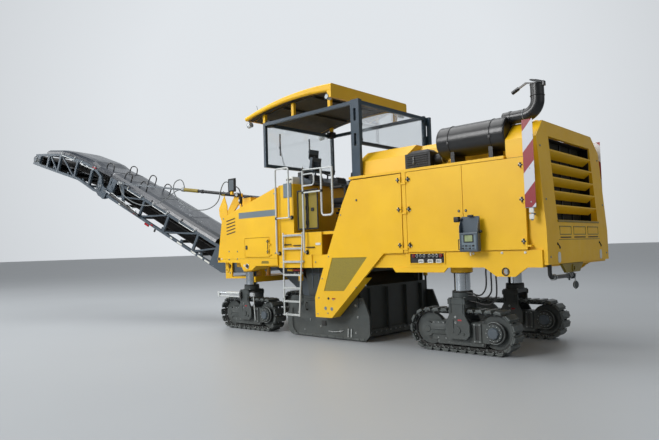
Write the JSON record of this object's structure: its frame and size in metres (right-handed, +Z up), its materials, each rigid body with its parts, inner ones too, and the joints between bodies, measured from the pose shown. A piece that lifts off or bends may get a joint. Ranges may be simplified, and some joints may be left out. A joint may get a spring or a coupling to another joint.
{
  "type": "cold planer milling machine",
  "caption": "Tracked road milling machine with a hooded cutting drum, open canopy and a folding front discharge conveyor.",
  "frame": {"origin": "on the ground under the middle of the whole machine's bounding box", "axes": "+X forward towards the discharge conveyor, +Y to the machine's left, +Z up"},
  "size_m": [13.8563, 3.6127, 4.445],
  "materials": {
    "yellow": "gloss yellow paint",
    "slate_steel": "satin slate blue-grey paint",
    "navy_hood": "dark blue-grey coated sheet",
    "grey_steel": "worn grey-green painted steel",
    "track_steel": "forged track steel with road dust",
    "dark_iron": "satin black paint",
    "black_steel": "heat-proof black coating",
    "black_plastic": "matt black moulding",
    "belt_rubber": "black conveyor belting",
    "chrome": "hard-chromed cylinder rod",
    "white_tube": "white-grey painted tube",
    "board_white": "reflective sheeting, red and white",
    "lamp": "black lamp housing",
    "seat_cover": "black synthetic leather",
    "glass": "clear laminated glass"
  },
  "bodies": {
    "machine": {"chassis_frame": "yellow", "front_body": "yellow", "rear_enclosure": "yellow", "radiator_cowl": "yellow", "engine_block": "dark_iron", "drum_housing": "grey_steel", "primary_conveyor": "slate_steel", "primary_belt": "belt_rubber", "operator_platform": "yellow", "control_console": "slate_steel", "seats": "seat_cover", "seat_stands": "dark_iron", "canopy_roof": "yellow", "canopy_frame": "slate_steel", "canopy_glass": "glass", "exhaust_system": "black_steel", "air_intake": "black_plastic", "ladders": "white_tube", "handrails": "white_tube", "warning_boards": "board_white", "work_lamps": "lamp", "hitch_bracket": "dark_iron", "water_pipe": "black_steel"},
    "milling_drum": {"milling_drum": "grey_steel"},
    "side_plate_left": {"side_plate_left": "grey_steel"},
    "side_plate_right": {"side_plate_right": "grey_steel"},
    "moldboard": {"moldboard": "grey_steel"},
    "door_left_rear": {"door_left_rear": "yellow", "control_box": "slate_steel"},
    "door_left_front": {"door_left_front": "yellow"},
    "door_right_rear": {"door_right_rear": "yellow"},
    "door_right_front": {"door_right_front": "yellow"},
    "belt_guard": {"belt_guard": "yellow"},
    "door_right_middle": {"door_right_middle": "yellow"},
    "hatch_left": {"hatch_left": "yellow"},
    "hatch_right": {"hatch_right": "yellow"},
    "slew_yoke": {"slew_yoke": "yellow"},
    "inner_boom": {"inner_truss": "slate_steel", "inner_hood": "navy_hood", "inner_belt": "belt_rubber"},
    "outer_boom": {"outer_truss": "slate_steel", "outer_hood": "navy_hood", "outer_belt": "belt_rubber"},
    "luff_barrels": {"luff_barrels": "black_steel"},
    "luff_rods": {"luff_rods": "chrome"},
    "fold_barrels": {"fold_barrels": "black_steel"},
    "fold_rods": {"fold_rods": "chrome"},
    "crawler_front_left": {"crawler_frame_front_left": "grey_steel", "track_front_left": "track_steel", "column_front_left": "chrome"},
    "crawler_front_right": {"crawler_frame_front_right": "grey_steel", "track_front_right": "track_steel", "column_front_right": "chrome"},
    "crawler_rear_left": {"crawler_frame_rear_left": "grey_steel", "track_rear_left": "track_steel", "column_rear_left": "chrome"},
    "crawler_rear_right": {"crawler_frame_rear_right": "grey_steel", "track_rear_right": "track_steel", "column_rear_right": "chrome"}
  },
  "joints": [
    {"name": "drum_spin", "type": "hinge", "parent": "machine", "child": "milling_drum", "pos_m": [-2.965, -0.557, 0.53], "axis": [0, 1, 0], "continuous": true},
    {"name": "side_plate_left_lift", "type": "slide", "parent": "machine", "child": "side_plate_left", "axis": [0, 0, 1], "range_m": [0, 0.25]},
    {"name": "side_plate_right_lift", "type": "slide", "parent": "machine", "child": "side_plate_right", "axis": [0, 0, 1], "range_m": [0, 0.25]},
    {"name": "moldboard_lift", "type": "slide", "parent": "machine", "child": "moldboard", "axis": [0, 0, 1], "range_m": [0, 0.25]},
    {"name": "steer_front_left", "type": "hinge", "parent": "machine", "child": "crawler_front_left", "pos_m": [-0.745, 0.373, 0.33], "axis": [0, 0, 1], "range_deg": [-25, 25]},
    {"name": "steer_front_right", "type": "hinge", "parent": "machine", "child": "crawler_front_right", "pos_m": [-0.745, -1.367, 0.33], "axis": [0, 0, 1], "range_deg": [-25, 25]},
    {"name": "steer_rear_left", "type": "hinge", "parent": "machine", "child": "crawler_rear_left", "pos_m": [-5.505, 0.373, 0.33], "axis": [0, 0, 1], "range_deg": [-25, 25]},
    {"name": "steer_rear_right", "type": "hinge", "parent": "machine", "child": "crawler_rear_right", "pos_m": [-5.505, -1.367, 0.33], "axis": [0, 0, 1], "range_deg": [-25, 25]},
    {"name": "door_left_rear_hinge", "type": "hinge", "parent": "machine", "child": "door_left_rear", "pos_m": [-6.681, 0.765, 2.062], "axis": [0, 0, 1], "range_deg": [0, 90]},
    {"name": "door_left_front_hinge", "type": "hinge", "parent": "machine", "child": "door_left_front", "pos_m": [-4.837, 0.765, 2.062], "axis": [0, 0, -1], "range_deg": [0, 90]},
    {"name": "belt_guard_hinge", "type": "hinge", "parent": "machine", "child": "belt_guard", "pos_m": [-4.746, 0.765, 2.062], "axis": [0, 0, 1], "range_deg": [0, 90]},
    {"name": "door_right_rear_hinge", "type": "hinge", "parent": "machine", "child": "door_right_rear", "pos_m": [-6.681, -1.759, 2.062], "axis": [0, 0, -1], "range_deg": [0, 90]},
    {"name": "door_right_front_hinge", "type": "hinge", "parent": "machine", "child": "door_right_front", "pos_m": [-4.837, -1.759, 2.062], "axis": [0, 0, 1], "range_deg": [0, 90]},
    {"name": "door_right_middle_hinge", "type": "hinge", "parent": "machine", "child": "door_right_middle", "pos_m": [-4.746, -1.759, 2.062], "axis": [0, 0, -1], "range_deg": [0, 90]},
    {"name": "hatch_left_hinge", "type": "hinge", "parent": "machine", "child": "hatch_left", "pos_m": [-1.725, 0.765, 1.615], "axis": [0, 0, 1], "range_deg": [0, 90]},
    {"name": "hatch_right_hinge", "type": "hinge", "parent": "machine", "child": "hatch_right", "pos_m": [-1.725, -1.759, 1.615], "axis": [0, 0, -1], "range_deg": [0, 90]},
    {"name": "conveyor_slew", "type": "hinge", "parent": "machine", "child": "slew_yoke", "pos_m": [0.035, -0.497, 0.98], "axis": [0, 0, 1], "range_deg": [-64.4, 35.6]},
    {"name": "conveyor_luff", "type": "hinge", "parent": "slew_yoke", "child": "inner_boom", "pos_m": [0.35463, -0.41493, 1.25], "axis": [0.2487, -0.9686, 0], "range_deg": [-20, 5]},
    {"name": "conveyor_fold", "type": "hinge", "parent": "inner_boom", "child": "outer_boom", "pos_m": [4.13211, 0.55496, 3.00397], "axis": [-0.2487, 0.9686, 0], "range_deg": [0, 130]},
    {"name": "luff_barrel_tilt", "type": "hinge", "parent": "slew_yoke", "child": "luff_barrels", "pos_m": [0.05437, -0.49203, 2.755], "axis": [0.2487, -0.9686, 0], "range_deg": [-25, 25]},
    {"name": "luff_rod_slide", "type": "slide", "parent": "luff_barrels", "child": "luff_rods", "axis": [0.9577, 0.2459, 0.1494], "range_m": [-0.16, 0.56]},
    {"name": "fold_barrel_tilt", "type": "hinge", "parent": "inner_boom", "child": "fold_barrels", "pos_m": [2.94087, 0.2491, 2.48321], "axis": [-0.2487, 0.9686, 0], "range_deg": [-5, 20]},
    {"name": "fold_rod_slide", "type": "slide", "parent": "fold_barrels", "child": "fold_rods", "axis": [0.8258, 0.212, 0.5226], "range_m": [-0.01, 0.3]}
  ],
  "couplings": [
    {"joint": "steer_rear_right", "follows": "steer_rear_left", "ratio": 1},
    {"joint": "steer_front_right", "follows": "steer_front_left", "ratio": 1},
    {"joint": "luff_barrel_tilt", "follows": "conveyor_luff", "ratio": 0.9159},
    {"joint": "luff_rod_slide", "follows": "conveyor_luff", "m_per_rad": -1.4944},
    {"joint": "fold_barrel_tilt", "follows": "conveyor_fold", "ratio": 0.08},
    {"joint": "fold_rod_slide", "follows": "conveyor_fold", "m_per_rad": 0.12}
  ]
}
